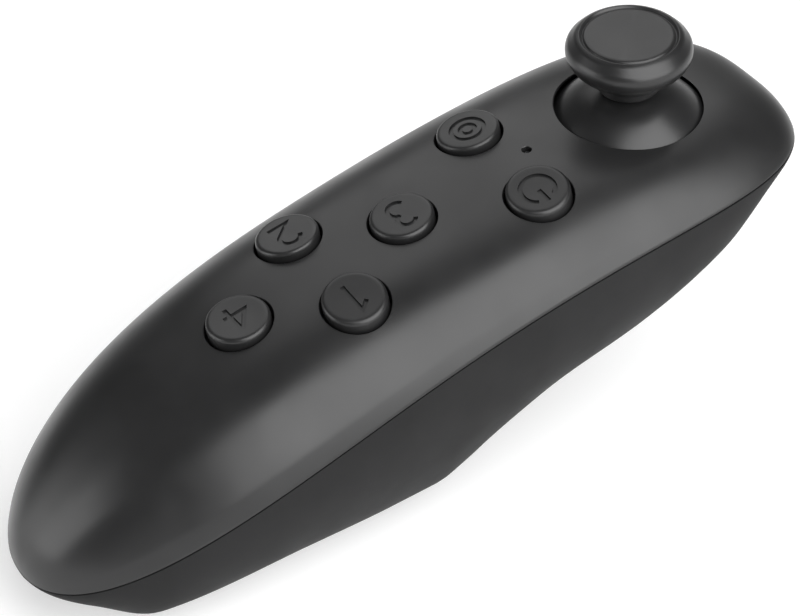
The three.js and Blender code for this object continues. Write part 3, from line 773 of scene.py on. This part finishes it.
NODE_SLOTS = {
    "case_screw": "steel", "board_screw": "steel", "joystick_screw": "steel", "plunger": "steel",
    "return_spring": "steel", "battery_spring": "steel", "battery_contact": "steel",
    "bluetooth_module": "steel", "trigger_upper_plunger": "steel", "trigger_lower_plunger": "steel",
    "switch": "switch_plastic", "trigger_upper_switch": "switch_plastic",
    "trigger_lower_switch": "switch_plastic", "centering_cup": "switch_plastic",
    "sense_rocker": "switch_plastic", "controller_chip": "chip_plastic",
    "button_board": "circuit_board", "joystick_board": "circuit_board", "tilt_sensor": "circuit_board",
    "trigger_upper_board": "circuit_board", "trigger_lower_board": "circuit_board",
    "joystick_shaft": "module_metal", "gimbal_ring": "module_metal", "joystick_housing": "module_metal",
    "led": "clear_plastic", "light_pipe": "clear_plastic", "ribbon_cable": "flat_cable",
    "battery_left": "cell_wrap", "battery_right": "cell_wrap",
}


def dress(piece, slot):
    piece.data.materials.clear()
    piece.data.materials.append(LOOKS[slot])


def dress_cad_nodes():
    for name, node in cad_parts.items():
        matches = [stem for stem in NODE_SLOTS if name.startswith(stem)]
        if matches:
            node.material_slots[0].material = LOOKS[NODE_SLOTS[max(matches, key=len)]]


# ---- camera, floor and light ----------------------------------------------------------------

CAMERA_AZIMUTH = math.radians(57.05)
CAMERA_HEIGHT = math.radians(39.84)
CAMERA_ROLL = math.radians(-1.93)
CAMERA_DISTANCE = 571.0
CAMERA_PAN = (0.46, -20.145)
CAMERA_LENS = 170.9


def make_camera():
    a, e, r = CAMERA_AZIMUTH, CAMERA_HEIGHT, CAMERA_ROLL
    back = Vector((math.sin(a) * math.cos(e), -math.cos(a) * math.cos(e), math.sin(e)))
    right = Vector((math.cos(a), math.sin(a), 0))
    up = back.cross(right)
    across = right * math.cos(r) + up * math.sin(r)
    upward = up * math.cos(r) - right * math.sin(r)
    spot = back * CAMERA_DISTANCE - across * CAMERA_PAN[0] - upward * CAMERA_PAN[1]
    turn = Matrix((across, upward, back)).transposed().to_4x4()
    data = bpy.data.cameras.new("camera")
    data.lens = CAMERA_LENS
    data.clip_start = 0.01
    data.clip_end = 20
    camera = bpy.data.objects.new("camera", data)
    camera.matrix_world = Matrix.Translation(spot * MM) @ turn
    bpy.context.scene.collection.objects.link(camera)
    bpy.context.scene.camera = camera


def softbox(name, azimuth, height, distance, width, tall, radiance):
    """A square lamp that faces the object. Angles are degrees, azimuth 0 is +X and 90 is +Y."""
    a, e = math.radians(azimuth), math.radians(height)
    way = Vector((math.cos(a) * math.cos(e), math.sin(a) * math.cos(e), math.sin(e)))
    data = bpy.data.lights.new(name, "AREA")
    data.shape = "RECTANGLE"
    data.size = width
    data.size_y = tall
    data.energy = radiance * math.pi * width * tall
    lamp = bpy.data.objects.new(name, data)
    lamp.location = way * distance + Vector((0, 0, 0.03))
    lamp.rotation_mode = "QUATERNION"
    lamp.rotation_quaternion = (-way).to_track_quat("-Z", "Y")
    lamp.visible_camera = False
    bpy.context.scene.collection.objects.link(lamp)


def make_floor():
    size = 2500
    floor = new_piece("floor", [(-size, -size, 0), (size, -size, 0), (size, size, 0), (-size, size, 0)],
                      [(0, 1, 2, 3)])
    look = Look("pale_floor")
    tone = look.blend(look.noise(0.02, 3), (0.56, 0.56, 0.56), (0.6, 0.6, 0.6))
    look.link(tone, look.shader.inputs["Base Color"])
    look.shader.inputs["Roughness"].default_value = 0.9
    look.link(tone, look.shader.inputs["Emission Color"])
    look.shader.inputs["Emission Strength"].default_value = 0.85
    floor.data.materials.append(look.material)


def make_world():
    """A pale wall all round that fades to a dark ceiling."""
    world = bpy.data.worlds.new("studio")
    bpy.context.scene.world = world
    world.use_nodes = True
    nodes, links = world.node_tree.nodes, world.node_tree.links
    place = nodes.new("ShaderNodeTexCoord")
    split = nodes.new("ShaderNodeSeparateXYZ")
    ramp = nodes.new("ShaderNodeValToRGB")
    links.new(place.outputs["Generated"], split.inputs["Vector"])
    links.new(split.outputs["Z"], ramp.inputs["Fac"])
    links.new(ramp.outputs["Color"], nodes["Background"].inputs["Color"])
    stops = ramp.color_ramp.elements
    stops[0].position, stops[0].color = 0.0, (0.5, 0.5, 0.5, 1)
    stops[1].position, stops[1].color = 1.0, (0.06, 0.06, 0.06, 1)
    wall = stops.new(0.12)
    wall.color = (0.34, 0.34, 0.34, 1)
    ceiling = stops.new(0.34)
    ceiling.color = (0.06, 0.06, 0.06, 1)


# ---- the scene ------------------------------------------------------------------------------

make_camera()
make_world()
make_floor()
softbox("side_softbox", 12, 43, 0.8, 1.0, 1.1, 4.1)
softbox("tail_softbox", -114, 12, 0.8, 0.56, 0.7, 2.5)
softbox("back_softbox", 150, 44, 0.9, 0.7, 0.72, 1.32)

dress(make_top_shell(), "satin_shell")
dress(make_bottom_shell(), "matte_shell")
dress(make_cover(), "matte_shell")
for label, (spot_x, spot_y) in BUTTONS.items():
    dress(make_button(label, spot_x, spot_y), "button_plastic")
dress(make_stick_cap(), "stick_plastic")
dress(make_stick_dome(), "stick_plastic")
for label, spot_y in TRIGGERS.items():
    dress(make_trigger(label, spot_y), "button_plastic")
dress_cad_nodes()

bpy.context.scene.view_settings.view_transform = "Standard"
